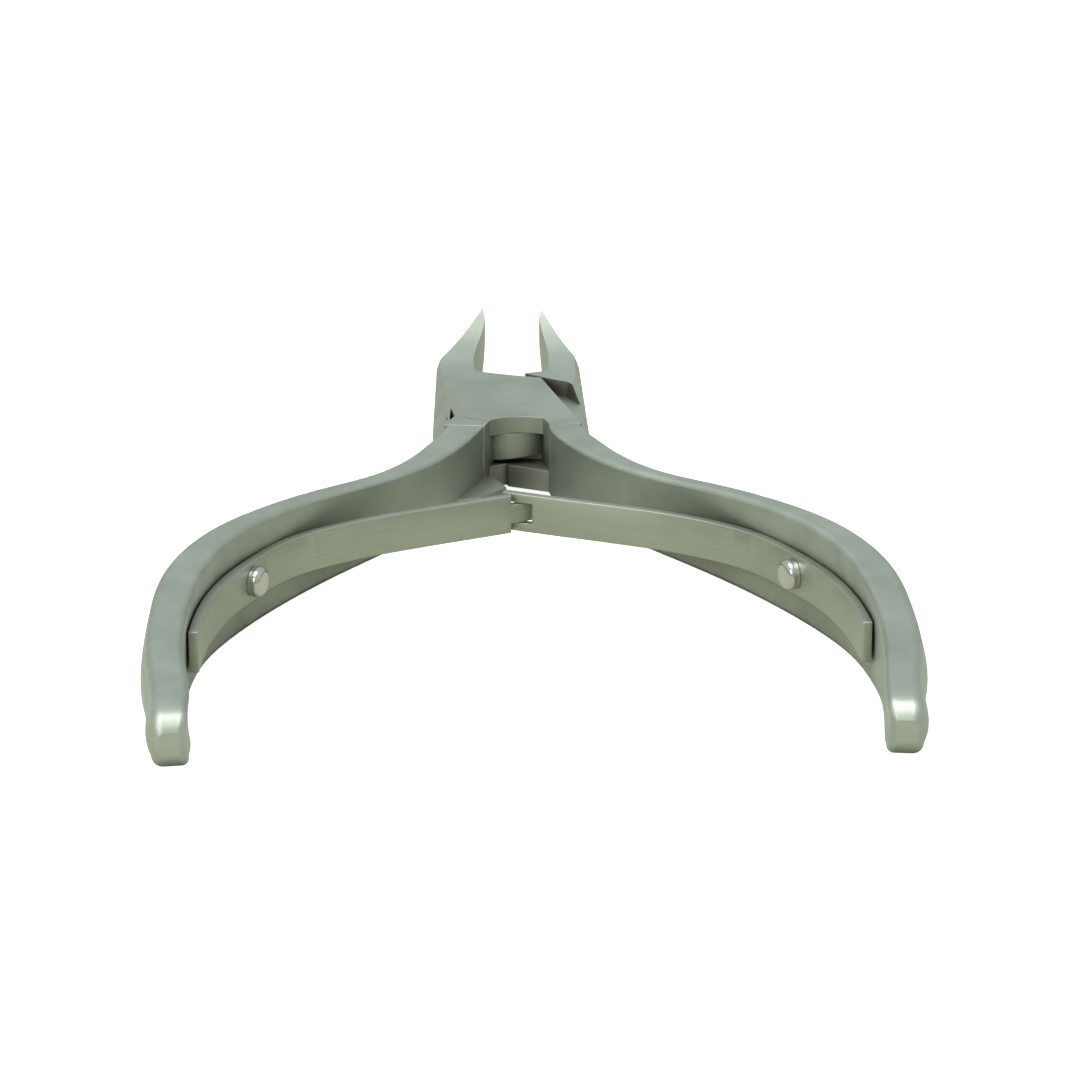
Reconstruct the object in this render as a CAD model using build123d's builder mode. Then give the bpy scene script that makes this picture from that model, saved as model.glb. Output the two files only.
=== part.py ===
"""Cuticle nipper with a box joint, two leaf springs and bowed handles.

Frame: millimetres, +Z up, +Y towards the jaws. The origin is where the pivot axis
meets the lower flat face of the joint. The tool is drawn closed, symmetric about the
YZ plane, and each half is turned by half the opening angle, so that the parts are
written out in the open rest position.
"""

from build123d import *
import os

os.makedirs("parts", exist_ok=True)

LEFT = -1
RIGHT = 1

# ---------------------------------------------------------------- driving dimensions
HALF_OPEN = 9.0            # each half turns this far from closed to open, degrees

# head
HEAD_THICK = 6.7           # over the two flat faces of the joint
TOP_PLATE = 1.6            # upper cheek of the female half
BOTTOM_PLATE = 2.1         # lower cheek of the female half
TONGUE_CLEAR = 0.04        # between the tongue and each cheek
TONGUE_RADIUS = 6.2        # round tongue of the male half
BORE_CLEAR = 0.05          # round the tongue, inside the box
HEAD_HALF_WIDTH = 7.4      # widest, beside the pivot
CREST_HALF_WIDTH = 5.3     # flat top face and jaw shoulders
FACET_DROP = 3.7           # how far the side facets fall from the flat top
CHIN_FACET = (0.9, 2.0)    # bevel along the lower side edges, across and up
SIDE_FLAT = 1.5            # half length of the widest stretch
SIDE_TAPER = 0.7           # narrowing from there to the end of the side wall

# jaws
TIP_REACH = 18.2           # pivot axis to cutting tips
TIP_RISE = 4.2             # tips above the flat top face
SHOULDER_REACH = 11.3      # pivot axis to jaw shoulders
SWEEP_START = 6.0          # where the top begins to curve up
CUTTING_LENGTH = 1.2       # edge length that meets, seen from above
BEAK_DROP = 3.3            # straight part of the cutting edge, downwards
EDGE_GAP = 0.02            # left between the edges when closed, each side
EDGE_SET = 0.6             # the edges meet this far to the right of the middle
HOLLOW_HALF_WIDTH = 1.85   # relief behind the edges, closed
HOLLOW_REACH = 9.2         # pivot axis to the root of the relief
CHIN_REACH = 9.4           # where the bottom face ends

# joint
PLATE_CORNER = (4.2, 6.5)  # front corner of the cheeks, on the male jaw side
PLATE_WAIST = (4.55, -0.5) # cheek edge beside the pivot
PLATE_HEEL = (5.1, -9.2)   # where the cheeks run into the handle
CHEEK_RADIUS = 7.4         # round rear corner of the cheeks
CHEEK_CLEAR = 0.15         # between the cheeks and the male half
POCKET_WALL = 6.35         # inner side of the open pocket in the male half
REAR_EDGE = [(1.8, -6.9), (-0.4, -6.0)]  # hollow rear edge of the cheeks, over the tongue
POCKET_OVERRUN = 0.5       # the pocket is cut past the ends of the cheek's front edge
POCKET_HEEL = 2.4          # the pocket's wall starts this far behind the cheek's front corner
SHELL_END = -0.532 * TONGUE_RADIUS  # rear end of the thin side walls
SLOT_RUNOUT = 0.5          # the slot is cut this far into the side wall's end
SWEEP_INSET = 0.8          # the open side of the slot starts outside the turned side wall
SIDE_WINDOW = [(-5.75, 0.7), (-6.3, -1.6), (-6.9, -3.9), (-5.5, -4.1)]  # beside the tongue
TONGUE_FLAT = (0.79 * TONGUE_RADIUS, -0.629 * TONGUE_RADIUS)  # flat, out and rear end
RELIEF = (-0.9, 5.0, 4.6)  # rear undercut of the tongue: left end, right end, back from the axis
RELIEF_RISE = (0.3, 1.0)   # height of the undercut at its two ends
ROOT_FRONT = (0.66 * TONGUE_RADIUS, -0.645 * TONGUE_RADIUS)  # outer corner of the roots
ROOT_BEND = -7.0           # where a root's inner side turns to meet the handle
ROOT_WALL = {LEFT: 1.0, RIGHT: 1.9}   # inner side of each root, beside the tongue
ROOT_INNER = {LEFT: 1.3, RIGHT: 2.1}  # the same, where the handle starts
LOW_HEEL = [(-1.5, -5.5), (-1.5, -6.5), (2.1, -9.1), (2.1, -5.5)]  # longer rear of the lower cheek
# low lug on the male handle that bridges the gap behind the joint
STOP_LUG = [(-2.2, -8.6), (-0.6, -8.8), (1.1, -11.9), (-0.9, -15.2), (-3.6, -16.5)]
STOP_LUG_HIGH = 1.6        # the lug stands this far above the lower flat face
PIN_RADIUS = 1.6
PIN_CLEAR = 0.03           # running fit of the pin in the tongue

# handles: inner face in plan (out from the middle, along), thickness, height, rounding
ROOT_BACK = 5.1            # outer side of both handles where they start
ROOT_START = -8.4          # where both handles start
ROOT_ROUNDING = 0.2        # share of the full rounding there
END_EXTRA = {LEFT: 0.8, RIGHT: 0.0}  # each handle runs on past its last station by this much
RIVET_WALL = 2.85          # handle thickness at the rivet
HANDLE_STATIONS = [
    (2.3, -14.0, 3.5, 6.75, 0.7),
    (4.2, -20.2, 3.2, 6.85, 1.0),
    (7.6, -26.8, 2.5, 7.20, 1.0),
    (11.6, -33.2, 2.5, 8.15, 1.0),
    (15.2, -40.3, RIVET_WALL, 9.00, 1.0),
    (17.7, -47.8, 3.4, 9.30, 1.0),
    (18.8, -56.5, 3.75, 8.60, 1.0),
    (18.3, -65.0, 3.6, 7.50, 1.1),
    (16.9, -73.0, 3.5, 6.20, 1.2),
    (15.0, -80.2, 3.5, 5.20, 1.3),
    (14.55, -82.2, 3.3, 4.80, 1.3),
]
# rounded end: onward, and inwards on the sides and on the top and bottom
END_CAP = [(0.6, 0.06, 0.15), (1.15, 0.22, 0.50), (1.55, 0.48, 0.95), (1.8, 0.80, 1.45)]
GRIP_RIM = 0.45            # rounding of the long edges
GRIP_SCOOP = 0.15          # hollow of the inner face
GRIP_CROWN = 0.50          # how far the outer face bulges

# leaf springs
LEAF_WIDTH = 3.5
LEAF_THICK = 0.8
LEAF_SEAT = 0.05           # between a leaf and its handle
LEAF_TAIL = 0.76           # tail end, as a share of the way along the handle
LEAF_LIFT = 0.435          # where the leaf leaves the handle, same measure
TIPS_MEET = 24.6           # pivot axis to the crossing of the two leaves
LEAF_SLANT = 27.5          # of the free stretch, from the crosswise direction
LEAF_ELBOW = 18.6          # crossing to the bend, along the leaf
CROSS_OFFSET = 0.2         # crossing, out from the middle plane
TONGUE_WIDTH = 1.7         # tip of the left leaf
FORK_CLEAR = 0.1           # between tongue and fork, each side
TIP_OVERLAP = 1.7          # each leaf runs on past the crossing
SHOULDER_CLEAR = 0.9       # the crossing to the shoulder of each leaf

# rivets
RIVET_PLACE = 0.522        # along the handle, as a share of its length
RIVET_SHANK = 0.85         # radius
RIVET_CLEAR = 0.04         # hole in the leaf over the shank
RIVET_HEAD = 1.35          # radius
RIVET_PROUD = 1.0          # head above the leaf
RIVET_CROWN = 0.55         # rounding of the head
RIVET_LIFT = 0.07          # under the head, over the curve of the leaf
RIVET_TAIL = 0.03          # end of the shank, below the outer face

# ---------------------------------------------------------------- derived
MID = HEAD_THICK / 2
SLOT_TOP = MID - TOP_PLATE
SLOT_LOW = -MID + BOTTOM_PLATE
TIP_HEIGHT = MID + TIP_RISE
GRIP_TALLEST = max(station[3] for station in HANDLE_STATIONS)
SHELL_SWEEP = Vector(HEAD_HALF_WIDTH - SIDE_TAPER, SHELL_END).rotate(Axis.Z, -2 * HALF_OPEN)
FAR = 40.0                 # longer than the head in every direction


def half_plane(angle):
    """Middle plane of the tool, turned about the pivot axis."""
    return Plane.XY.offset(MID).rotated((0, 0, angle))


def side_view(base):
    """Plane through the pivot axis, with local x forward and local y up."""
    return Plane(origin=base.origin, x_dir=base.y_dir, z_dir=base.x_dir)


def front_view(base):
    """Plane through the pivot axis, with local x sideways and local y up."""
    return Plane(origin=base.origin, x_dir=base.x_dir, z_dir=-base.y_dir)


def head_profile(base):
    """Side outline of the head: flat faces, jaws curving up, and the beaked front."""
    with BuildSketch(side_view(base)) as profile:
        with BuildLine():
            Line((-FAR, MID), (SWEEP_START, MID))
            TangentArc((SWEEP_START, MID), (TIP_REACH, TIP_HEIGHT), tangent=(1, 0))
            edge = (TIP_REACH - CUTTING_LENGTH, TIP_HEIGHT - BEAK_DROP)
            Line((TIP_REACH, TIP_HEIGHT), edge)
            TangentArc(edge, (CHIN_REACH, -MID), tangent=(-CUTTING_LENGTH, -BEAK_DROP))
            Polyline((CHIN_REACH, -MID), (-FAR, -MID), (-FAR, MID))
        make_face()
    return profile.sketch


def jaw_plan(base, side):
    """Plan of one jaw with its thin side wall."""
    relief = TIP_REACH - CUTTING_LENGTH
    crest = side * CREST_HALF_WIDTH
    wide = side * HEAD_HALF_WIDTH
    end = side * (HEAD_HALF_WIDTH - SIDE_TAPER)
    hollow = side * HOLLOW_HALF_WIDTH + max(0, side * EDGE_SET)
    gap = EDGE_SET + side * EDGE_GAP
    with BuildSketch(base.offset(-MID)) as plan:
        with BuildLine():
            Polyline((gap, TIP_REACH), (crest, SHOULDER_REACH), (wide, SIDE_FLAT),
                     (wide, -SIDE_FLAT), (end, SHELL_END), (0, SHELL_END),
                     (0, HOLLOW_REACH - HOLLOW_HALF_WIDTH / 2), (hollow, HOLLOW_REACH))
            Spline((hollow, HOLLOW_REACH), (gap, relief), tangents=[(0, 1), (-side * 0.3, 1)])
            Line((gap, relief), (gap, TIP_REACH))
        make_face()
    return plan.sketch


def cheek_plan(base):
    """Plan of the two cheeks of the female half."""
    shell = Vector(LEFT * (CHEEK_RADIUS**2 - SHELL_END**2) ** 0.5, SHELL_END)
    corner = Vector(shell.Y, shell.X)
    rear = Vector(LEFT * CHEEK_RADIUS, 0).rotate(Axis.Z, 45)
    with BuildSketch(base.offset(-MID)) as plan:
        with BuildLine():
            Polyline((LEFT * HEAD_HALF_WIDTH, SIDE_FLAT), (LEFT * HOLLOW_HALF_WIDTH, HOLLOW_REACH),
                     PLATE_CORNER, PLATE_WAIST, PLATE_HEEL, (ROOT_INNER[RIGHT], PLATE_HEEL[1]),
                     REAR_EDGE[0])
            ThreePointArc(*REAR_EDGE, corner)
            ThreePointArc(corner, rear, shell)
            Line(shell, (LEFT * HEAD_HALF_WIDTH, SIDE_FLAT))
        make_face()
    return plan.sketch


def root_plan(base, side):
    """Plan of the thick root that joins a handle to the joint."""
    wall = side * ROOT_WALL[side]
    out, front = ROOT_FRONT
    with BuildSketch(base.offset(-MID)) as plan:
        with BuildLine():
            Polyline((wall, front), (side * out, front), (side * PLATE_HEEL[0], PLATE_HEEL[1]),
                     (side * ROOT_INNER[side], PLATE_HEEL[1]), (wall, ROOT_BEND), close=True)
        make_face()
    return plan.sketch


def facet_cuts(base, side):
    """Wedges that bevel the upper and lower side edges of the head."""
    slope = FACET_DROP / (HEAD_HALF_WIDTH - CREST_HALF_WIDTH)
    reach = 3.0
    across, up = CHIN_FACET
    low = HEAD_HALF_WIDTH - across
    with BuildSketch(front_view(base)) as wedges:
        with BuildLine():
            Polyline((side * (CREST_HALF_WIDTH - reach), MID + reach * slope),
                     (side * (HEAD_HALF_WIDTH + 1), MID - FACET_DROP - slope),
                     (side * FAR, MID + reach * slope), close=True)
        make_face()
        with BuildLine():
            Polyline((side * (low - across), -MID - up), (side * (low + 2 * across), -MID + 2 * up),
                     (side * FAR, -MID - up), close=True)
        make_face()
    return wedges.sketch


def stations(side):
    """Stations of one handle, with its own root first and its own end last."""
    inner = ROOT_INNER[side]
    *middle, (x, y, *shape) = HANDLE_STATIONS
    return [(inner, ROOT_START, ROOT_BACK - inner, HEAD_THICK, ROOT_ROUNDING), *middle,
            (x, y - END_EXTRA[side], *shape)]


def inner_face(side):
    """Plan curve of a handle's inner face, from the joint to the end."""
    points = [(side * x, y) for x, y, *_ in stations(side)]
    return Spline(*points, tangents=[(side * 0.15, -1), (-side * 0.3, -1)])


def handle_section(base, foot, outward, thick, high, rounding):
    """One cross-section of a handle, standing on its inner face."""
    rim, scoop = GRIP_RIM * rounding, GRIP_SCOOP * rounding
    heel = 1.6 * rim
    top = high / 2
    back = thick - GRIP_CROWN * rounding * high / GRIP_TALLEST
    nick, heel_nick = rim * 0.293, heel * 0.293
    local = Plane(origin=foot, x_dir=outward, z_dir=Vector(0, 0, 1).cross(outward))
    with BuildSketch(base * local) as section:
        with BuildLine():
            ThreePointArc((0, rim - top), (scoop, 0), (0, top - rim))
            ThreePointArc((0, top - rim), (nick, top - nick), (rim, top))
            Line((rim, top), (back - heel, top))
            ThreePointArc((back - heel, top), (back - heel_nick, top - heel_nick), (back, top - heel))
            ThreePointArc((back, top - heel), (thick, 0), (back, heel - top))
            ThreePointArc((back, heel - top), (back - heel_nick, heel_nick - top), (back - heel, -top))
            Line((back - heel, -top), (rim, -top))
            ThreePointArc((rim, -top), (nick, nick - top), (0, rim - top))
        make_face()
    return section.sketch


def handle_sections(base, side):
    """Cross-sections of a handle, each square to its inner face, and its rounded end."""
    curve = inner_face(side)
    sections = []
    for x, y, thick, high, rounding in stations(side):
        foot = Vector(side * x, y)
        along = curve.tangent_at(curve.param_at_point(foot))
        outward = Vector(-along.Y, along.X) * side
        sections.append(handle_section(base, foot, outward, thick, high, rounding))
    for forward, inward, down in END_CAP:
        edge = foot + along * forward + outward * inward
        share = (high - 2 * down) / high
        sections.append(handle_section(base, edge, outward, thick - 2 * inward, high * share,
                                       rounding * share))
    return sections


def rivet_axis(base, side):
    """Plane on a handle's inner face at the rivet, facing the other handle."""
    curve = inner_face(side)
    place = curve.position_at(RIVET_PLACE)
    along = curve.tangent_at(RIVET_PLACE)
    inward = Vector(along.Y, -along.X) * side
    return Plane(base * Plane(origin=place, x_dir=(0, 0, 1), z_dir=inward))


def leaf_plan(base, side, turn):
    """Plan of a leaf: seated along the handle, then lifting off towards the middle."""
    curve = inner_face(side)
    seats = [LEAF_TAIL + (LEAF_LIFT - LEAF_TAIL) * step / 5 for step in range(6)]
    forward = Vector(-side, 0).rotate(Axis.Z, -side * LEAF_SLANT)
    crossing = Vector(CROSS_OFFSET, -TIPS_MEET)
    free = [crossing - forward * LEAF_ELBOW, crossing + forward * TIP_OVERLAP]
    free = [point.rotate(Axis.Z, -turn) for point in free]
    forward = forward.rotate(Axis.Z, -turn)
    lateral = Vector(-forward.Y, forward.X) * side
    back, front = [], []
    for seat in seats:
        along = curve.tangent_at(seat)
        inward = Vector(along.Y, -along.X) * side
        back.append(curve.position_at(seat) + inward * LEAF_SEAT)
        front.append(curve.position_at(seat) + inward * (LEAF_SEAT + LEAF_THICK))
    back += [point - lateral * LEAF_THICK / 2 for point in free]
    front += [point + lateral * LEAF_THICK / 2 for point in free]
    start = curve.tangent_at(LEAF_TAIL) * -1
    with BuildSketch(base.offset(-LEAF_WIDTH / 2)) as plan:
        with BuildLine():
            Spline(*back, tangents=[start, forward])
            Line(back[-1], front[-1])
            Spline(*front, tangents=[start, forward])
            Line(back[0], front[0])
        make_face()
    return plan.sketch


def disc(plane, radius):
    """Round outline about a plane's origin."""
    with BuildSketch(plane) as outline:
        Circle(radius)
    return outline.sketch


def tip_block(start, side, level):
    """Rectangle over the leaf tips at one level, from one x onward to the given side."""
    with BuildSketch(Plane.XY.offset(level)) as block:
        with Locations((start + side * FAR / 2, -TIPS_MEET)):
            Rectangle(FAR, FAR / 2)
    return block.sketch


def rivet(seat):
    """Rivet with a rounded head over the leaf, and its shank through the handle."""
    under_head = seat.offset(LEAF_SEAT + LEAF_THICK + RIVET_LIFT)
    shank = LEAF_SEAT + LEAF_THICK + RIVET_LIFT + RIVET_WALL - RIVET_TAIL
    with BuildPart() as shape:
        extrude(disc(under_head, RIVET_HEAD), amount=RIVET_PROUD)
        crown = shape.faces().sort_by(Axis(under_head.origin, under_head.z_dir))[-1]
        fillet(crown.edges(), RIVET_CROWN)
        extrude(disc(under_head, RIVET_SHANK), amount=-shank)
    return shape.part


# ---------------------------------------------------------------- female half
female_plane = half_plane(HALF_OPEN)
male_plane = half_plane(-HALF_OPEN)
female_rivet_plane = rivet_axis(female_plane, RIGHT)
male_rivet_plane = rivet_axis(male_plane, LEFT)

with BuildPart() as female:
    extrude(jaw_plan(female_plane, LEFT), amount=FAR)
    extrude(cheek_plan(female_plane), amount=FAR)
    extrude(root_plan(female_plane, RIGHT), amount=FAR)
    extrude(head_profile(female_plane), amount=FAR, both=True, mode=Mode.INTERSECT)
    with BuildSketch(female_plane.offset(SLOT_LOW)) as slot:
        Circle(TONGUE_RADIUS + BORE_CLEAR)
        with Locations((FAR / 2 - HOLLOW_HALF_WIDTH, HOLLOW_REACH / 2)):
            Rectangle(FAR, HOLLOW_REACH)
        with Locations((ROOT_WALL[RIGHT] - FAR / 2, SHELL_END + SLOT_RUNOUT - FAR / 2)):
            Rectangle(FAR, FAR)
        with Locations((SHELL_SWEEP.X / 2 + SWEEP_INSET + FAR / 2,
                        SHELL_SWEEP.Y - CHEEK_CLEAR + FAR / 2)):
            Rectangle(FAR, FAR)
    extrude(amount=SLOT_TOP - SLOT_LOW, mode=Mode.SUBTRACT)
    extrude(facet_cuts(female_plane, LEFT), amount=FAR, both=True, mode=Mode.SUBTRACT)
    with BuildSketch(female_plane.offset(SLOT_LOW)) as window:
        Polygon(*SIDE_WINDOW, align=None)
    extrude(amount=HEAD_THICK, mode=Mode.SUBTRACT)
    with BuildSketch(female_plane.offset(-MID)) as heel:
        Polygon(*LOW_HEEL, align=None)
    extrude(amount=BOTTOM_PLATE)
    extrude(disc(female_plane.offset(-MID), PIN_RADIUS), amount=HEAD_THICK, mode=Mode.SUBTRACT)
    loft(handle_sections(female_plane, RIGHT))
    extrude(disc(female_rivet_plane, RIVET_SHANK), amount=FAR / 4, both=True, mode=Mode.SUBTRACT)

# ---------------------------------------------------------------- male half
tongue_thick = SLOT_TOP - SLOT_LOW - 2 * TONGUE_CLEAR
tongue_level = male_plane.offset(SLOT_LOW + TONGUE_CLEAR)
tongue_base = male_plane.offset(SLOT_LOW + TONGUE_CLEAR + MID)

with BuildPart() as male:
    extrude(root_plan(male_plane, LEFT), amount=HEAD_THICK)
    with BuildSketch(male_plane.offset(-MID)) as cheek_sweep:
        Circle(CHEEK_RADIUS + CHEEK_CLEAR)
    extrude(amount=HEAD_THICK, mode=Mode.SUBTRACT)
    extrude(jaw_plan(male_plane, RIGHT), amount=FAR)
    with BuildSketch(male_plane.offset(-MID)) as pocket:
        slant = (PLATE_CORNER[1] - HOLLOW_REACH) / (PLATE_CORNER[0] + HOLLOW_HALF_WIDTH)
        left = -POCKET_OVERRUN
        corner = PLATE_CORNER[0] + POCKET_OVERRUN
        front = HOLLOW_REACH + CHEEK_CLEAR + slant * HOLLOW_HALF_WIDTH
        rear = SHELL_END - SIDE_FLAT
        Polygon((left, front + slant * left), (corner, front + slant * corner),
                (POCKET_WALL, PLATE_CORNER[1] - POCKET_HEEL), (POCKET_WALL, rear),
                (left, rear), align=None)
    extrude(amount=FAR, mode=Mode.SUBTRACT)
    extrude(jaw_plan(tongue_base, RIGHT), amount=tongue_thick)
    extrude(root_plan(tongue_base, LEFT), amount=tongue_thick)
    with BuildSketch(tongue_level) as tongue:
        Circle(TONGUE_RADIUS)
        with Locations((-TONGUE_FLAT[0] - FAR / 2, TONGUE_FLAT[1] + FAR / 2)):
            Rectangle(FAR, FAR, mode=Mode.SUBTRACT)
    extrude(amount=tongue_thick)
    relief_left, relief_right, relief_back = RELIEF
    low_rise, high_rise = RELIEF_RISE
    with BuildSketch(front_view(male_plane).offset(relief_back)) as relief:
        Polygon((relief_left, SLOT_LOW), (relief_right, SLOT_LOW),
                (relief_right, SLOT_LOW + high_rise), (relief_left, SLOT_LOW + low_rise),
                align=None)
    extrude(amount=FAR, mode=Mode.SUBTRACT)
    extrude(head_profile(male_plane), amount=FAR, both=True, mode=Mode.INTERSECT)
    extrude(facet_cuts(male_plane, RIGHT), amount=FAR, both=True, mode=Mode.SUBTRACT)
    extrude(disc(tongue_level, PIN_RADIUS + PIN_CLEAR), amount=tongue_thick, mode=Mode.SUBTRACT)
    loft(handle_sections(male_plane, LEFT))
    with BuildSketch(male_plane.offset(-MID)) as lug:
        Polygon(*STOP_LUG, align=None)
    extrude(amount=STOP_LUG_HIGH)
    extrude(disc(male_rivet_plane, RIVET_SHANK), amount=FAR / 4, both=True, mode=Mode.SUBTRACT)

# ---------------------------------------------------------------- pivot pin
with BuildPart() as pin:
    extrude(disc(Plane.XY, PIN_RADIUS), amount=HEAD_THICK)

# ---------------------------------------------------------------- leaf springs
with BuildPart() as left_leaf:
    extrude(leaf_plan(male_plane, LEFT, -HALF_OPEN), amount=LEAF_WIDTH)
    for step in (RIGHT, LEFT):
        shoulder = tip_block(CROSS_OFFSET - SHOULDER_CLEAR, RIGHT, MID + step * TONGUE_WIDTH / 2)
        extrude(shoulder, amount=step * LEAF_WIDTH, mode=Mode.SUBTRACT)
    extrude(disc(male_rivet_plane, RIVET_SHANK + RIVET_CLEAR), amount=FAR / 8, both=True,
            mode=Mode.SUBTRACT)

with BuildPart() as right_leaf:
    extrude(leaf_plan(female_plane, RIGHT, HALF_OPEN), amount=LEAF_WIDTH)
    notch_low = MID - TONGUE_WIDTH / 2 - FORK_CLEAR
    extrude(tip_block(CROSS_OFFSET + SHOULDER_CLEAR + FORK_CLEAR, LEFT, notch_low),
            amount=TONGUE_WIDTH + 2 * FORK_CLEAR, mode=Mode.SUBTRACT)
    extrude(disc(female_rivet_plane, RIVET_SHANK + RIVET_CLEAR), amount=FAR / 8, both=True,
            mode=Mode.SUBTRACT)

# ---------------------------------------------------------------- written parts
pieces = {
    "female_half": female.part,
    "male_half": male.part,
    "pivot_pin": pin.part,
    "left_leaf_spring": left_leaf.part,
    "right_leaf_spring": right_leaf.part,
    "left_spring_rivet": rivet(male_rivet_plane),
    "right_spring_rivet": rivet(female_rivet_plane),
}
for label, piece in pieces.items():
    piece.label = label
    export_step(piece, f"parts/{label}.step")
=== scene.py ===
"""Box-joint cuticle nippers, open on a pale table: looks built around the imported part.

Every length is in metres unless its name says otherwise. The pivot axis is Z, the jaws point
along +Y and the handles sweep back along -Y.
"""

import logging
import math
from dataclasses import dataclass
from enum import Enum

import bmesh
import bpy
from mathutils import Matrix, Vector


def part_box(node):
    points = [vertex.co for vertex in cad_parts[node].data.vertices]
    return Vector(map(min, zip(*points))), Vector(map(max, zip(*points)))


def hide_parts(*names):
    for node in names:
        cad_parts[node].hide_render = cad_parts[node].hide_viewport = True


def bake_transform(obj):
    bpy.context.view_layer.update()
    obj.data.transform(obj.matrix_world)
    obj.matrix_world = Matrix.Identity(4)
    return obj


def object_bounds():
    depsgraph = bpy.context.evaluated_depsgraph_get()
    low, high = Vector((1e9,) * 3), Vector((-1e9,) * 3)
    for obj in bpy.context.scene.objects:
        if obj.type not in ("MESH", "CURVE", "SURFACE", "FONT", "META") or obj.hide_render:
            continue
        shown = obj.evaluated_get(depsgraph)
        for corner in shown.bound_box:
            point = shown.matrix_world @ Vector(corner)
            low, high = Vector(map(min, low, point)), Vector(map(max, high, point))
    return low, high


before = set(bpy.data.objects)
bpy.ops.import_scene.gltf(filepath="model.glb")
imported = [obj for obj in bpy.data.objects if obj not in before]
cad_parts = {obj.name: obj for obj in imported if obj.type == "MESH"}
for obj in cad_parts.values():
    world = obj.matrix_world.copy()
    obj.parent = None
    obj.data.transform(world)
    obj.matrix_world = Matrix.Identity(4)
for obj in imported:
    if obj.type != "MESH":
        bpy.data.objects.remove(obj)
CAD_BOX = [list(corner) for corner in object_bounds()]

LOG = logging.getLogger("cuticle_nippers")
MM = 0.001
WELD = 2e-6
MASK_SAMPLES = 6
LINE_MAP = "drawn_direction"

Colour = tuple[float, float, float, float]
Range = tuple[float, float]
Socket = bpy.types.NodeSocket

FULL: Range = (0.0, 1.0)
NOISE_MIDDLE: Range = (0.3, 0.7)
MOTTLE_MIDDLE: Range = (0.32, 0.68)
CHIP_MIDDLE: Range = (0.25, 0.75)
CHIP_STRENGTH: Range = (0.55, 1.0)
EDGE_BEND: Range = (0.04, 0.20)
RECESS_OPENNESS: Range = (0.10, 0.80)
WHITE: Colour = (1.0, 1.0, 1.0, 1.0)


class Side(Enum):
    """The two sides of the tool, seen from the handles with the jaws pointing away."""

    LEFT = "left"
    RIGHT = "right"

    @property
    def sign(self) -> int:
        """-1 on the left, 1 on the right."""
        return -1 if self is Side.LEFT else 1

    @property
    def handle_body(self) -> str:
        """The rigid body whose handle lies on this side."""
        return "male_body" if self is Side.LEFT else "female_body"

    @property
    def leaf_body(self) -> str:
        """The body that carries the tip of this side's leaf spring."""
        return f"{self.value}_leaf_body"


# ---------------------------------------------------------------------------
# Node trees
# ---------------------------------------------------------------------------


class Wiring:
    """Adds nodes to one tree and joins them."""

    def __init__(self, tree: bpy.types.NodeTree) -> None:
        """Keeps the tree that the nodes go into."""
        self.tree = tree

    def add(self, kind: str, values: dict | None = None, **settings: object) -> bpy.types.Node:
        """Adds one node.

        Args:
            kind: The node's type name.
            values: Input name or number, to a constant or to the socket that feeds it.
            settings: Properties of the node itself.

        Returns:
            The new node.
        """
        node = self.tree.nodes.new(kind)
        for name, value in settings.items():
            setattr(node, name, value)
        for key, value in (values or {}).items():
            self.feed(node.inputs[key], value)
        return node

    def feed(self, socket: Socket, value: object) -> None:
        """Links value to the socket if it is a socket, and sets it as the constant if not."""
        if isinstance(value, bpy.types.NodeSocket):
            self.tree.links.new(value, socket)
        else:
            socket.default_value = value

    def maths(self, operation: str, first: object, second: object = 0.0) -> Socket:
        """The result of one clamped operation on two values."""
        node = self.add(
            "ShaderNodeMath", {0: first, 1: second}, operation=operation, use_clamp=True
        )
        return node.outputs[0]

    def blend(self, factor: object, low: object, high: object) -> Socket:
        """The colour between low and high at a factor from 0 to 1."""
        node = self.add("ShaderNodeMix", {0: factor, 6: low, 7: high}, data_type="RGBA")
        return node.outputs[2]

    def free_maths(self, operation: str, first: object, second: object = 0.0) -> Socket:
        """The result of one operation on two values, not clamped."""
        node = self.add("ShaderNodeMath", {0: first, 1: second}, operation=operation)
        return node.outputs[0]

    def noise(self, place: Socket, scale: object, **settings: float) -> Socket:
        """One noise texture's value.

        Args:
            place: The coordinates that it is read at.
            scale: Its scale, a number or a socket.
            settings: Its other inputs, by name.

        Returns:
            The texture's value.
        """
        values = {"Vector": place, "Scale": scale, **settings}
        return self.add("ShaderNodeTexNoise", values).outputs[0]

    def span(self, value: Socket, found: Range, out: Range) -> Socket:
        """Maps a value smoothly from the range found onto the range out, clamped."""
        node = self.add(
            "ShaderNodeMapRange",
            {
                "Value": value,
                "From Min": found[0],
                "From Max": found[1],
                "To Min": out[0],
                "To Max": out[1],
            },
            interpolation_type="SMOOTHSTEP",
        )
        return node.outputs["Result"]


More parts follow.
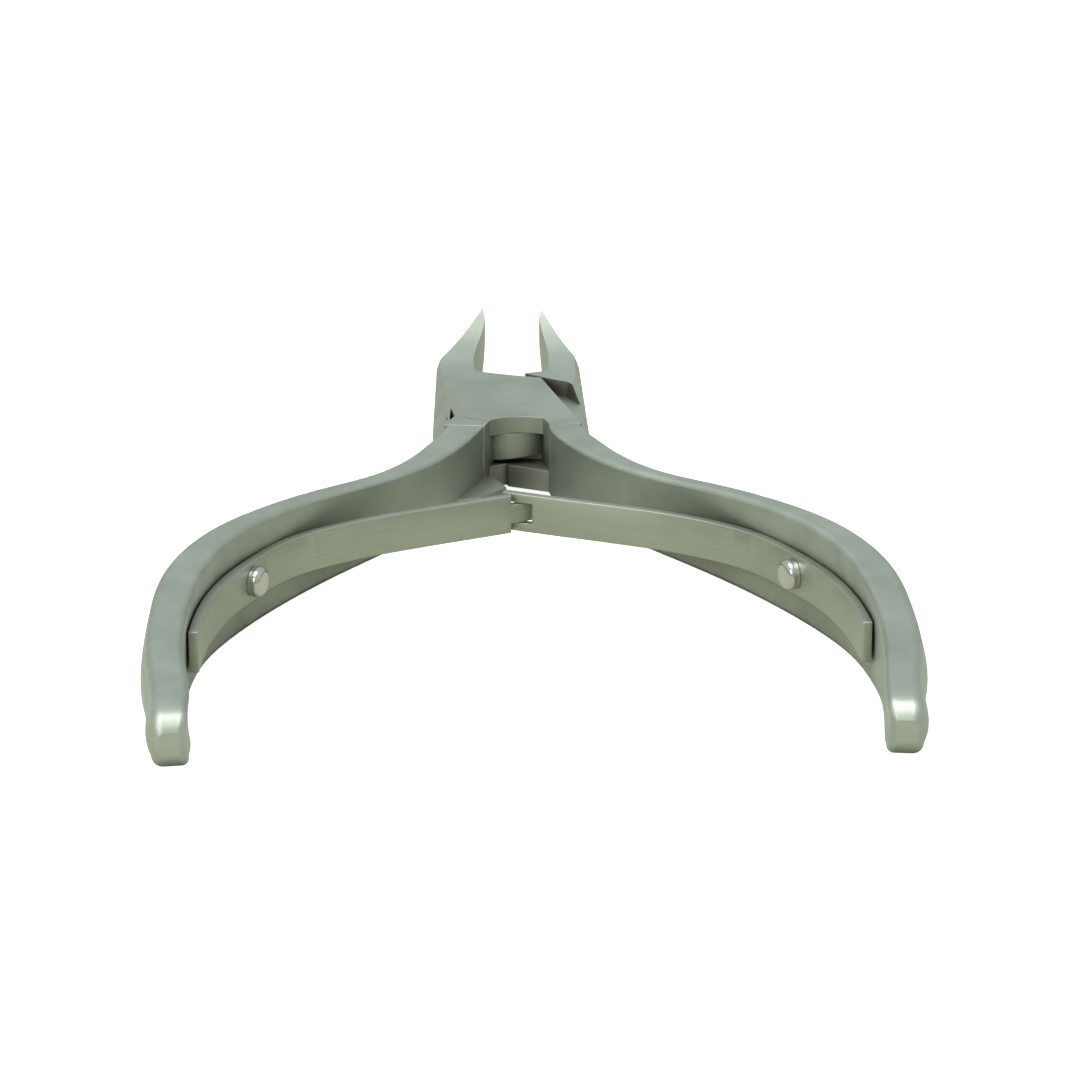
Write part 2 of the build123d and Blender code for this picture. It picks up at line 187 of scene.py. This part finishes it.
class Effect:
    """A shader node group with named sockets, shared by the finishes that use it."""

    def __init__(self, name: str, inputs: dict[str, float], outputs: tuple[str, ...]) -> None:
        """Makes the empty group.

        Args:
            name: The group's name.
            inputs: Each value input and its usual setting.
            outputs: The value outputs; one named Normal is a vector.
        """
        self.tree = bpy.data.node_groups.new(name, "ShaderNodeTree")
        for label, value in inputs.items():
            socket = self.tree.interface.new_socket(
                name=label, in_out="INPUT", socket_type="NodeSocketFloat"
            )
            socket.default_value = value
        for label in outputs:
            kind = "NodeSocketVector" if label == "Normal" else "NodeSocketFloat"
            self.tree.interface.new_socket(name=label, in_out="OUTPUT", socket_type=kind)
        self.wires = Wiring(self.tree)
        self.entry = self.tree.nodes.new("NodeGroupInput").outputs
        self.exit = self.tree.nodes.new("NodeGroupOutput").inputs

    def put(self, label: str, value: Socket) -> None:
        """Joins a value to the group's output of that name."""
        self.tree.links.new(value, self.exit[label])

    def place(self, wires: Wiring, values: dict[str, object]) -> bpy.types.NodeOutputs:
        """Places the group in a material with its own values and returns its outputs."""
        node = wires.add("ShaderNodeGroup", node_tree=self.tree)
        for label, value in values.items():
            wires.feed(node.inputs[label], value)
        return node.outputs


def blasted_grain() -> Effect:
    """The fine pits that bead blasting leaves: Height for bump and a soft Mottle."""
    group = Effect("blasted_grain", {"Scale": 5200.0, "Mottle Scale": 260.0}, ("Height", "Mottle"))
    wires = group.wires
    place = wires.add("ShaderNodeTexCoord").outputs["Object"]
    pits = wires.noise(place, group.entry["Scale"], Detail=3.0, Roughness=0.62)
    cells = wires.add("ShaderNodeTexVoronoi", {"Vector": place, "Scale": group.entry["Scale"]})
    mottle = wires.noise(place, group.entry["Mottle Scale"], Detail=5.0, Roughness=0.55)
    group.put("Height", wires.free_maths("ADD", pits, cells.outputs["Distance"]))
    group.put("Mottle", wires.span(mottle, MOTTLE_MIDDLE, FULL))
    return group


def edge_wear_and_highlight() -> Effect:
    """A rounded Normal at the arrises, and a Mask of them that lightens the colour, partly as wear
    and partly as painted highlight.
    """
    group = Effect("edge_wear_and_highlight", {"Width": 0.00012, "Break": 900.0}, ("Mask", "Normal"))
    wires = group.wires
    rounded = wires.add("ShaderNodeBevel", {"Radius": group.entry["Width"]}, samples=MASK_SAMPLES)
    true = wires.add("ShaderNodeNewGeometry").outputs["Normal"]
    facing = wires.add(
        "ShaderNodeVectorMath", {0: rounded.outputs[0], 1: true}, operation="DOT_PRODUCT"
    )
    bend = wires.maths("SUBTRACT", 1.0, facing.outputs["Value"])
    place = wires.add("ShaderNodeTexCoord").outputs["Object"]
    chips = wires.noise(place, group.entry["Break"], Detail=2.0)
    patchy = wires.span(chips, CHIP_MIDDLE, CHIP_STRENGTH)
    # The mask lightens the arrises: partly wear, partly painted highlight.
    group.put("Mask", wires.maths("MULTIPLY", wires.span(bend, EDGE_BEND, FULL), patchy))
    group.put("Normal", rounded.outputs[0])
    return group


def hand_haze() -> Effect:
    """Slow, cloudy variation left by wiping and handling, as a Mask."""
    group = Effect("hand_haze", {"Scale": 55.0}, ("Mask",))
    wires = group.wires
    place = wires.add("ShaderNodeTexCoord").outputs["Object"]
    cloud = wires.noise(place, group.entry["Scale"], Detail=3.0, Distortion=0.6)
    group.put("Mask", wires.span(cloud, NOISE_MIDDLE, FULL))
    return group


def recess_shade() -> Effect:
    """A Mask of the tight inner corners and slots, where the colour is darkened as painted shade.
    """
    group = Effect("recess_shade", {"Reach": 0.0060}, ("Mask",))
    wires = group.wires
    # Painted shade: ambient occlusion finds where shade falls, so the colour can be darkened
    # there.
    nearby = wires.add(
        "ShaderNodeAmbientOcclusion", {"Distance": group.entry["Reach"]}, samples=MASK_SAMPLES
    )
    group.put("Mask", wires.span(nearby.outputs["AO"], RECESS_OPENNESS, FULL[::-1]))
    return group


def drawn_lines() -> Effect:
    """Fine lines along a strip, read from its own UV map: Height and a soft Streak."""
    group = Effect("drawn_lines", {"Lines": 9000.0, "Length": 110.0}, ("Height", "Streak"))
    wires = group.wires
    place = wires.add("ShaderNodeUVMap", uv_map=LINE_MAP)
    parts = wires.add("ShaderNodeSeparateXYZ", {0: place.outputs[0]})
    along = wires.free_maths("MULTIPLY", parts.outputs[0], group.entry["Length"])
    across = wires.free_maths("MULTIPLY", parts.outputs[1], group.entry["Lines"])
    stretched = wires.add("ShaderNodeCombineXYZ", {0: along, 1: across})
    lines = wires.noise(stretched.outputs[0], 1.0, Detail=4.0, Roughness=0.7)
    group.put("Height", lines)
    group.put("Streak", wires.span(lines, NOISE_MIDDLE, FULL))
    return group


def turned_rings() -> Effect:
    """Lathe rings about the Z axis of the coordinates it is given, as Height and Ring."""
    group = Effect("turned_rings", {"Rings": 7000.0}, ("Height", "Ring"))
    group.tree.interface.new_socket(
        name="Vector", in_out="INPUT", socket_type="NodeSocketVector"
    )
    wires = group.wires
    parts = wires.add("ShaderNodeSeparateXYZ", {0: group.entry["Vector"]})
    flat = wires.add("ShaderNodeCombineXYZ", {0: parts.outputs[0], 1: parts.outputs[1]})
    radius = wires.add("ShaderNodeVectorMath", {0: flat.outputs[0]}, operation="LENGTH")
    scaled = wires.free_maths("MULTIPLY", radius.outputs["Value"], group.entry["Rings"])
    line = wires.add("ShaderNodeCombineXYZ", {0: scaled})
    rings = wires.noise(line.outputs[0], 1.0, Detail=3.0)
    group.put("Height", rings)
    group.put("Ring", wires.span(rings, NOISE_MIDDLE, FULL))
    return group


class EffectShelf:
    """Builds each shared effect once and hands it to the finishes."""

    def __init__(self) -> None:
        """Builds every effect that a finish uses."""
        self.grain = blasted_grain()
        self.edges = edge_wear_and_highlight()
        self.haze = hand_haze()
        self.recess = recess_shade()
        self.lines = drawn_lines()
        self.rings = turned_rings()


# ---------------------------------------------------------------------------
# Finishes
# ---------------------------------------------------------------------------


@dataclass(frozen=True)
class BlastedSteel:
    """Bead-blasted stainless steel, with arrises lightened partly by use and partly as painted
    highlight, and painted shade in its recesses.
    """

    name: str = "blasted_steel"
    colour: Colour = (0.50, 0.525, 0.475, 1.0)
    mottle_colour: Colour = (0.44, 0.47, 0.42, 1.0)
    # Lighter arris colour: partly wear, partly painted highlight.
    arris_wear_and_highlight_colour: Colour = (0.57, 0.59, 0.54, 1.0)
    # Painted shade: the dark colour laid into corners and slots.
    recess_shade_colour: Colour = (0.13, 0.125, 0.095, 1.0)
    roughness: Range = (0.46, 0.56)
    edge_width: float = 0.06 * MM
    bump: float = 0.22
    bump_depth: float = 0.02 * MM

    def material(self, shelf: EffectShelf) -> bpy.types.Material:
        """Builds the finish.

        Args:
            shelf: The shared effects.

        Returns:
            The finished material.
        """
        made, wires, shader = blank_material(self.name)
        grain = shelf.grain.place(wires, {})
        edges = shelf.edges.place(wires, {"Width": self.edge_width})
        haze = shelf.haze.place(wires, {})
        recess = shelf.recess.place(wires, {})
        body = wires.blend(grain["Mottle"], self.colour, self.mottle_colour)
        # Arrises lightened partly as wear and partly as painted highlight.
        worn_and_highlit = wires.blend(edges["Mask"], body, self.arris_wear_and_highlight_colour)
        # Painted shade: the recess mask darkens corners and slots towards the dark colour.
        wires.feed(
            shader.inputs["Base Color"], wires.blend(recess["Mask"], worn_and_highlit, self.recess_shade_colour)
        )
        relief = {
            "Height": grain["Height"],
            "Normal": edges["Normal"],
            "Strength": self.bump,
            "Distance": self.bump_depth,
        }
        make_metal(wires, shader, haze["Mask"], self.roughness, relief)
        return made


@dataclass(frozen=True)
class SpringSteel:
    """Hardened strip with fine lengthwise lines, and edges lightened partly by wear and partly as
    painted highlight.
    """

    name: str = "spring_strip"
    colour: Colour = (0.40, 0.42, 0.36, 1.0)
    streak_colour: Colour = (0.47, 0.49, 0.42, 1.0)
    # Lighter edge colour: partly wear, partly painted highlight.
    arris_wear_and_highlight_colour: Colour = (0.76, 0.77, 0.72, 1.0)
    roughness: Range = (0.40, 0.50)
    edge_width: float = 0.12 * MM
    haze_scale: float = 90.0
    bump: float = 0.12
    bump_depth: float = 0.01 * MM

    def material(self, shelf: EffectShelf) -> bpy.types.Material:
        """Builds the finish.

        Args:
            shelf: The shared effects.

        Returns:
            The finished material.
        """
        made, wires, shader = blank_material(self.name)
        lines = shelf.lines.place(wires, {})
        edges = shelf.edges.place(wires, {"Width": self.edge_width})
        haze = shelf.haze.place(wires, {"Scale": self.haze_scale})
        body = wires.blend(lines["Streak"], self.colour, self.streak_colour)
        # Edges lightened partly as wear and partly as painted highlight.
        wires.feed(
            shader.inputs["Base Color"], wires.blend(edges["Mask"], body, self.arris_wear_and_highlight_colour)
        )
        relief = {
            "Height": lines["Height"],
            "Normal": edges["Normal"],
            "Strength": self.bump,
            "Distance": self.bump_depth,
        }
        make_metal(wires, shader, haze["Mask"], self.roughness, relief)
        return made


@dataclass(frozen=True)
class TurnedSteel:
    """Steel turned on a lathe about one axis, from satin to polished."""

    name: str
    centre: Vector
    turn: float
    tilt: float
    colour: Colour = (0.62, 0.62, 0.58, 1.0)
    ring_colour: Colour = (0.54, 0.55, 0.52, 1.0)
    roughness: Range = (0.12, 0.20)
    rings: float = 7000.0
    haze_scale: float = 400.0
    bump: float = 0.08
    bump_depth: float = 0.01 * MM

    def material(self, shelf: EffectShelf) -> bpy.types.Material:
        """Builds the finish, with its rings centred on the turned piece.

        Args:
            shelf: The shared effects.

        Returns:
            The finished material.
        """
        made, wires, shader = blank_material(self.name)
        place = wires.add("ShaderNodeTexCoord").outputs["Object"]
        centred = wires.add(
            "ShaderNodeMapping",
            {
                "Vector": place,
                "Location": self.centre,
                "Rotation": (self.tilt, 0.0, self.turn),
            },
            vector_type="TEXTURE",
        )
        rings = shelf.rings.place(wires, {"Vector": centred.outputs[0], "Rings": self.rings})
        haze = shelf.haze.place(wires, {"Scale": self.haze_scale})
        wires.feed(
            shader.inputs["Base Color"],
            wires.blend(rings["Ring"], self.ring_colour, self.colour),
        )
        relief = {
            "Height": rings["Height"],
            "Strength": self.bump,
            "Distance": self.bump_depth,
        }
        make_metal(wires, shader, haze["Mask"], self.roughness, relief)
        return made


def blank_material(name: str) -> tuple[bpy.types.Material, Wiring, bpy.types.Node]:
    """Makes an empty node material.

    Args:
        name: The material's name.

    Returns:
        The material, the wiring of its tree and its Principled shader.
    """
    made = bpy.data.materials.new(name)
    made.use_nodes = True
    made.node_tree.nodes.clear()
    wires = Wiring(made.node_tree)
    shader = wires.add("ShaderNodeBsdfPrincipled")
    wires.add("ShaderNodeOutputMaterial", {"Surface": shader.outputs[0]})
    return made, wires, shader


def make_metal(
    wires: Wiring,
    shader: bpy.types.Node,
    haze: Socket,
    roughness: Range,
    relief: dict[str, object],
) -> None:
    """Makes a Principled shader a metal with cloudy roughness and a fine relief.

    Args:
        wires: The wiring of the material's tree.
        shader: The Principled shader.
        haze: The mask that moves the roughness through its range.
        roughness: The lowest and the highest roughness.
        relief: The inputs of the bump node.
    """
    wires.feed(shader.inputs["Roughness"], wires.span(haze, FULL, roughness))
    wires.feed(shader.inputs["Normal"], wires.add("ShaderNodeBump", relief).outputs[0])
    shader.inputs["Metallic"].default_value = 1.0


# ---------------------------------------------------------------------------
# Mesh helpers
# ---------------------------------------------------------------------------


def merged_copy(node: str) -> bmesh.types.BMesh:
    """A CAD node's mesh with its loose triangles joined into one closed skin.

    Args:
        node: The CAD node's name.

    Returns:
        A new bmesh at the node's place.
    """
    shape = bmesh.new()
    shape.from_mesh(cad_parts[node].data)
    bmesh.ops.remove_doubles(shape, verts=shape.verts, dist=WELD)
    return shape


def dress(target: bpy.types.Object, finish: bpy.types.Material) -> None:
    """Puts one finish in every material slot of an object."""
    if not target.material_slots:
        target.data.materials.append(finish)
    for slot in target.material_slots:
        slot.material = finish


# ---------------------------------------------------------------------------
# Sub-assemblies
# ---------------------------------------------------------------------------


@dataclass
class LeafSpring:
    """One bent leaf spring, riveted to its handle and pressed against its twin at the tip."""

    side: Side
    finish: bpy.types.Material
    edge_round: float = 0.09 * MM
    flat_angle: float = math.radians(0.6)
    sharp_angle: float = math.radians(35)
    slices: int = 34
    anchor: tuple[float, float] = (21.7 * MM, -39.2 * MM)
    free: tuple[float, float] = (8.0 * MM, -29.0 * MM)

    @property
    def node(self) -> str:
        """The CAD node that this piece stands for."""
        return f"{self.side.value}_leaf_spring"

    def build(self) -> bpy.types.Object:
        """Rounds the strip's edges, slices it across its length, and puts it in place of its CAD
        node.

        Returns:
            The leaf's object.
        """
        shape = merged_copy(self.node)
        bmesh.ops.dissolve_limit(
            shape, angle_limit=self.flat_angle, verts=shape.verts, edges=shape.edges
        )
        self.round_edges(shape)
        self.slice_across(shape)
        self.lay_lines(shape)
        mesh = bpy.data.meshes.new(f"{self.side.value}_leaf")
        shape.to_mesh(mesh)
        shape.free()
        mesh.shade_smooth()
        mesh.set_sharp_from_angle(angle=self.sharp_angle)
        leaf = bpy.data.objects.new(mesh.name, mesh)
        bpy.context.scene.collection.objects.link(leaf)
        dress(leaf, self.finish)
        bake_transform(leaf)
        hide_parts(self.node)
        return leaf

    def round_edges(self, shape: bmesh.types.BMesh) -> None:
        """Rounds every sharp arris of the strip."""
        sharp = [
            edge
            for edge in shape.edges
            if edge.is_manifold and edge.calc_face_angle(0.0) > self.sharp_angle
        ]
        bmesh.ops.bevel(
            shape,
            geom=sharp,
            affect="EDGES",
            offset=self.edge_round,
            offset_type="OFFSET",
            segments=2,
            profile=0.5,
            material=-1,
            clamp_overlap=True,
        )

    def slice_across(self, shape: bmesh.types.BMesh) -> None:
        """Cuts the strip into short lengths along Y."""
        low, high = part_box(self.node)
        for step in range(1, self.slices):
            cut = low.y + (high.y - low.y) * step / self.slices
            bmesh.ops.bisect_plane(
                shape,
                geom=shape.verts[:] + shape.edges[:] + shape.faces[:],
                dist=WELD,
                plane_co=(0.0, cut, 0.0),
                plane_no=(0.0, 1.0, 0.0),
            )

    def lay_lines(self, shape: bmesh.types.BMesh) -> None:
        """Writes the UV map that runs along the strip, with its other axis over its height."""
        layer = shape.loops.layers.uv.new(LINE_MAP)
        for face in shape.faces:
            for loop in face.loops:
                place = loop.vert.co
                loop[layer].uv = (math.hypot(place.x, place.y), place.z)


@dataclass
class Nippers:
    """The two crossed halves, the pivot pin and the spring rivets."""

    shelf: EffectShelf
    pin_roughness: Range = (0.34, 0.42)
    pin_rings: float = 9000.0
    rivet_turn: float = math.radians(60.0)
    rivet_tilt: float = math.radians(90.0)

    def build(self) -> None:
        """Dresses the CAD pieces in their finishes."""
        steel = BlastedSteel().material(self.shelf)
        for node in ("female_half", "male_half"):
            self.dress_node(node, steel)
        pin = TurnedSteel(
            "turned_pin",
            centre=Vector((0, 0, 0)),
            turn=0.0,
            tilt=0.0,
            roughness=self.pin_roughness,
            rings=self.pin_rings,
        )
        self.dress_node("pivot_pin", pin.material(self.shelf))
        for side in Side:
            node = f"{side.value}_spring_rivet"
            low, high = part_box(node)
            rivet = TurnedSteel(
                f"{side.value}_rivet_polish",
                centre=(low + high) / 2,
                turn=side.sign * self.rivet_turn,
                tilt=self.rivet_tilt,
            )
            self.dress_node(node, rivet.material(self.shelf))

    def dress_node(self, node: str, finish: bpy.types.Material) -> None:
        """Puts one finish on a CAD node."""
        dress(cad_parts[node], finish)
        LOG.info("dressed %s", node)


# ---------------------------------------------------------------------------
# Table, light and camera
# ---------------------------------------------------------------------------


@dataclass(frozen=True)
class Softbox:
    """One large soft lamp."""

    name: str
    place: tuple[float, float, float]
    size: float
    power: float
    colour: tuple[float, float, float]

    def hang(self, target: Vector) -> None:
        """Puts the lamp in the scene, pointing at target."""
        lamp = bpy.data.lights.new(self.name, "AREA")
        lamp.shape = "SQUARE"
        lamp.size = self.size
        lamp.energy = self.power
        lamp.color = self.colour
        holder = bpy.data.objects.new(self.name, lamp)
        bpy.context.scene.collection.objects.link(holder)
        aim = target - Vector(self.place)
        holder.matrix_world = Matrix.Translation(self.place) @ (
            aim.to_track_quat("-Z", "Y").to_matrix().to_4x4()
        )


@dataclass
class Studio:
    """The pale table, the soft light round it and the camera."""

    table_size: float = 6.0
    table_colour: Colour = (0.56, 0.57, 0.49, 1.0)
    table_glow: Range = (0.0, 0.95)
    side_reach: Range = (0.35, 0.95)
    sky_height: Range = (0.0, 0.9)
    pitch: float = math.radians(18.5)
    yaw: float = math.radians(2.0)
    distance: float = 0.400
    aside: float = 0.00279
    below: float = 0.01038
    lens_mm: float = 138.67
    sensor_mm: float = 36.0
    clip: Range = (0.01, 20.0)
    sky: Colour = (0.60, 0.70, 0.71, 1.0)
    horizon: Colour = (0.43, 0.45, 0.41, 1.0)
    sides: Colour = (0.64, 0.67, 0.62, 1.0)
    lamps: tuple[Softbox, ...] = (
        Softbox(
            "overhead", place=(-0.13, -0.20, 0.80), size=0.54, power=4.4, colour=(1.0, 1.0, 0.92)
        ),
        Softbox(
            "rear_fill", place=(-0.35, -0.70, 0.40), size=0.40, power=1.6, colour=(1.0, 0.99, 0.88)
        ),
        Softbox(
            "left_fill", place=(-0.7, -0.1, 0.25), size=0.5, power=0.10, colour=(1.0, 1.0, 0.97)
        ),
        Softbox(
            "right_fill", place=(0.7, -0.1, 0.25), size=0.5, power=0.06, colour=(1.0, 1.0, 0.97)
        ),
    )

    def build(self) -> None:
        """Makes the table, the light and the camera."""
        low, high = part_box("pivot_pin")
        pivot = (low + high) / 2
        self.lay_table()
        self.light_room()
        for lamp in self.lamps:
            lamp.hang(pivot)
        self.place_camera(pivot)

    def lay_table(self) -> None:
        """Lays a plain pale floor under the lowest point of the tool.

        The floor glows white to the camera alone, and is clear when it is seen from below.
        """
        shape = bmesh.new()
        bmesh.ops.create_grid(shape, x_segments=1, y_segments=1, size=self.table_size / 2)
        bmesh.ops.translate(shape, verts=shape.verts, vec=(0.0, 0.0, CAD_BOX[0][2]))
        mesh = bpy.data.meshes.new("table")
        shape.to_mesh(mesh)
        shape.free()
        table = bpy.data.objects.new("table", mesh)
        bpy.context.scene.collection.objects.link(table)
        made = bpy.data.materials.new("pale_table")
        made.use_nodes = True
        made.node_tree.nodes.clear()
        wires = Wiring(made.node_tree)
        matt = wires.add("ShaderNodeBsdfDiffuse", {"Color": self.table_colour})
        seen = wires.add("ShaderNodeLightPath").outputs["Is Camera Ray"]
        strength = wires.span(seen, FULL, self.table_glow)
        glow = wires.add("ShaderNodeEmission", {"Strength": strength})
        both = wires.add("ShaderNodeAddShader", {0: matt.outputs[0], 1: glow.outputs[0]})
        under = wires.add("ShaderNodeNewGeometry").outputs["Backfacing"]
        clear = wires.add("ShaderNodeBsdfTransparent")
        surface = wires.add(
            "ShaderNodeMixShader", {0: under, 1: both.outputs[0], 2: clear.outputs[0]}
        )
        wires.add("ShaderNodeOutputMaterial", {"Surface": surface.outputs[0]})
        dress(table, made)

    def light_room(self) -> None:
        """Lights the room softly: a sky, lighter sides, and a white backdrop for the camera."""
        world = bpy.data.worlds.new("room")
        world.use_nodes = True
        world.node_tree.nodes.clear()
        wires = Wiring(world.node_tree)
        way = wires.add("ShaderNodeTexCoord").outputs["Generated"]
        parts = wires.add("ShaderNodeSeparateXYZ", {0: way}).outputs
        aside = wires.free_maths("ABSOLUTE", parts["X"])
        level = wires.blend(wires.span(aside, self.side_reach, FULL), self.horizon, self.sides)
        tone = wires.blend(wires.span(parts["Z"], self.sky_height, FULL), level, self.sky)
        room = wires.add("ShaderNodeBackground", {"Color": tone, "Strength": 1.0})
        white = wires.add("ShaderNodeBackground", {"Color": WHITE, "Strength": 1.0})
        seen = wires.add("ShaderNodeLightPath").outputs["Is Camera Ray"]
        both = wires.add(
            "ShaderNodeMixShader", {0: seen, 1: room.outputs[0], 2: white.outputs[0]}
        )
        wires.add("ShaderNodeOutputWorld", {"Surface": both.outputs[0]})
        bpy.context.scene.world = world
        settings = bpy.context.scene.view_settings
        settings.view_transform = "Standard"
        settings.look = "None"

    def place_camera(self, pivot: Vector) -> None:
        """Looks at the handles' ends from a little above, with the jaws pointing away."""
        right = Vector((math.cos(self.yaw), -math.sin(self.yaw), 0.0))
        ahead = Vector(
            (
                math.sin(self.yaw) * math.cos(self.pitch),
                math.cos(self.yaw) * math.cos(self.pitch),
                -math.sin(self.pitch),
            )
        )
        up = right.cross(ahead)
        place = pivot - self.distance * ahead + self.aside * right - self.below * up
        lens = bpy.data.cameras.new("camera")
        lens.lens = self.lens_mm
        lens.sensor_width = self.sensor_mm
        lens.clip_start, lens.clip_end = self.clip
        camera = bpy.data.objects.new("camera", lens)
        bpy.context.scene.collection.objects.link(camera)
        turned = Matrix((right, up, -ahead)).transposed().to_4x4()
        camera.matrix_world = Matrix.Translation(place) @ turned
        bpy.context.scene.camera = camera


def main() -> None:
    """Builds every sub-assembly in order."""
    logging.basicConfig(level=logging.INFO, format="%(name)s: %(message)s")
    shelf = EffectShelf()
    Nippers(shelf).build()
    strip = SpringSteel().material(shelf)
    for side in Side:
        leaf = LeafSpring(side, strip).build()
        LOG.info("built %s with %d faces", leaf.name, len(leaf.data.polygons))
    Studio().build()


if __name__ == "__main__":
    main()
